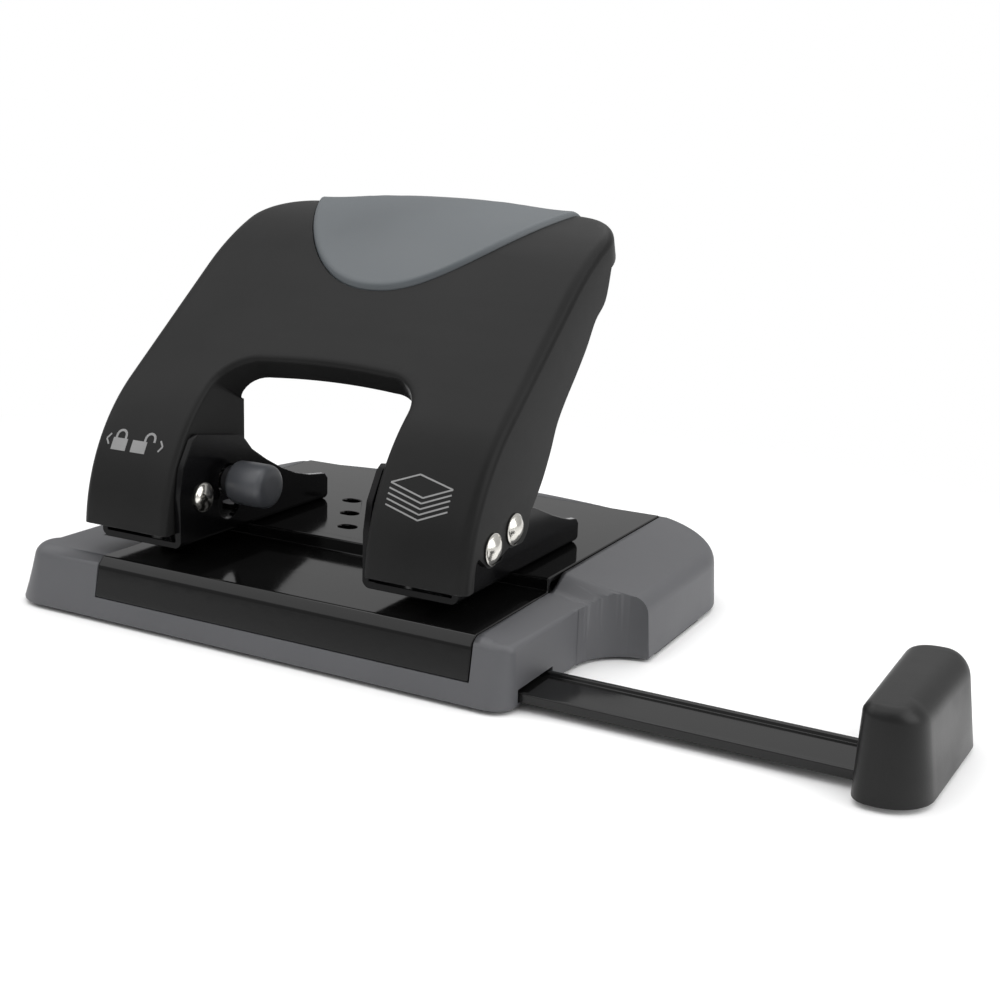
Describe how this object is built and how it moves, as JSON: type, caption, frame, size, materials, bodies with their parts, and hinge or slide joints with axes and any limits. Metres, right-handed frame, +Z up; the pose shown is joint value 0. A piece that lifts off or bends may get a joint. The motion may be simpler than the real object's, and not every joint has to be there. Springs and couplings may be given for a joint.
{
  "type": "hole punch",
  "caption": "Desktop lever paper punch with a rear-leaning handle, steel punch heads on a plastic chip-tray base, a handle lock and a sliding paper guide.",
  "frame": {"origin": "on the table under the middle of the front rubber foot, midway between the two punches", "axes": "+X along the base towards the paper guide, +Y away from the edge that the paper is fed from, +Z up"},
  "size_m": [0.2006, 0.103, 0.0885],
  "materials": {
    "grey_plastic": "fine moulded texture",
    "black_enamel": "gloss enamel",
    "handle_enamel": "satin enamel",
    "grip_plastic": "soft satin",
    "knob_plastic": "satin",
    "tray_plastic": "moulded",
    "black_gloss_plastic": "gloss",
    "black_satin_plastic": "satin",
    "foot_rubber": "matt",
    "nickel": "nickel plated",
    "zinc_steel": "zinc plated",
    "black_oxide": "black oxide",
    "spring_steel": "drawn wire",
    "tool_steel": "ground"
  },
  "bodies": {
    "base": {"base_body": "grey_plastic", "base_plate": "black_enamel", "plate_nuts": "zinc_steel", "plate_screws": "zinc_steel", "rubber_feet": "foot_rubber", "bracket_left": "black_enamel", "bracket_right": "black_enamel", "bracket_rivets": "black_oxide", "pivot_pin_left": "nickel", "pivot_pin_right": "nickel", "guide_spring": "spring_steel", "return_spring_left": "spring_steel", "return_spring_right": "spring_steel"},
    "handle": {"handle_shell": "handle_enamel", "handle_grip": "grip_plastic"},
    "cutter_unit_left": {"cutter_left": "tool_steel", "cross_pin_left": "nickel", "spring_cap_left": "zinc_steel"},
    "cutter_unit_right": {"cutter_right": "tool_steel", "cross_pin_right": "nickel", "spring_cap_right": "zinc_steel", "retaining_ring": "zinc_steel"},
    "lock": {"lock_knob": "knob_plastic", "lock_collar": "black_oxide"},
    "guide": {"paper_guide": "black_gloss_plastic", "guide_end_block": "black_satin_plastic", "guide_screws": "zinc_steel"},
    "tray": {"chip_tray": "tray_plastic"}
  },
  "joints": [
    {"name": "handle_press", "type": "hinge", "parent": "base", "child": "handle", "pos_m": [0, 0.0054, 0.0268], "axis": [-1, 0, 0], "range_deg": [0, 32], "stiffness_Nm_per_rad": 0.35, "springref_deg": -28.65},
    {"name": "cutter_left_slide", "type": "slide", "parent": "base", "child": "cutter_unit_left", "axis": [0, 0, -1], "range_m": [0, 0.005], "deforming": ["return_spring_left"]},
    {"name": "cutter_right_slide", "type": "slide", "parent": "base", "child": "cutter_unit_right", "axis": [0, 0, -1], "range_m": [0, 0.005], "deforming": ["return_spring_right"]},
    {"name": "lock_slide", "type": "slide", "parent": "cutter_unit_left", "child": "lock", "axis": [-1, 0, 0], "range_m": [0, 0.0018]},
    {"name": "guide_slide", "type": "slide", "parent": "base", "child": "guide", "axis": [1, 0, 0], "range_m": [-0.0625, 0]},
    {"name": "tray_hinge", "type": "hinge", "parent": "base", "child": "tray", "pos_m": [0, 0.081, 0.0031], "axis": [1, 0, 0], "range_deg": [0, 75]}
  ],
  "couplings": [
    {"joint": "cutter_left_slide", "follows": "handle_press", "m_per_rad": 0.0089},
    {"joint": "cutter_right_slide", "follows": "handle_press", "m_per_rad": 0.0089}
  ]
}
